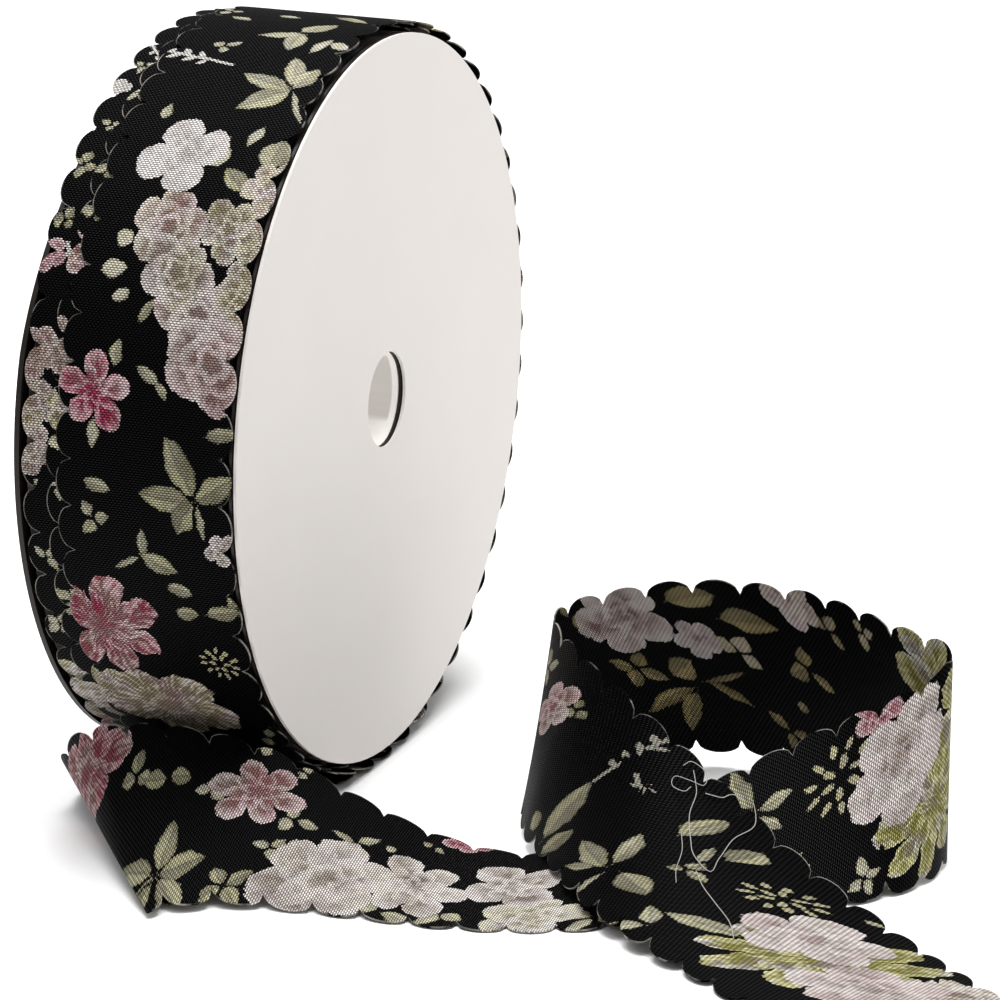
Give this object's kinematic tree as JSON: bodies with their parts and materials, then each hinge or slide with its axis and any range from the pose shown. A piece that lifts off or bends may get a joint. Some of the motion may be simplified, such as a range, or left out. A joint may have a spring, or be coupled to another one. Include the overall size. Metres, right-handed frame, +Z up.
{
  "type": "roll of floral ribbon",
  "caption": "Wound black floral ribbon with scalloped edges between thin discs, its loose end laid out in a curl.",
  "frame": {"origin": "middle of the small flat that the wound ribbon rests on, on the floor under the roll's axis", "axes": "+X along the roll's axis, out of its white face; +Z up; the loose end lies towards -Y and +X"},
  "size_m": [0.188, 0.1739, 0.1305],
  "materials": {
    "printed_cloth": "plain-woven polyester ribbon, black with printed flowers",
    "white_card": "smooth white card",
    "dark_disc": "thin dark sheet",
    "white_core": "smooth white tube"
  },
  "bodies": {
    "root": {"ribbon_roll": "printed_cloth", "ribbon_tail": "printed_cloth", "front_face": "white_card", "front_flange": "dark_disc", "back_flange": "dark_disc", "core": "white_core"}
  },
  "joints": []
}
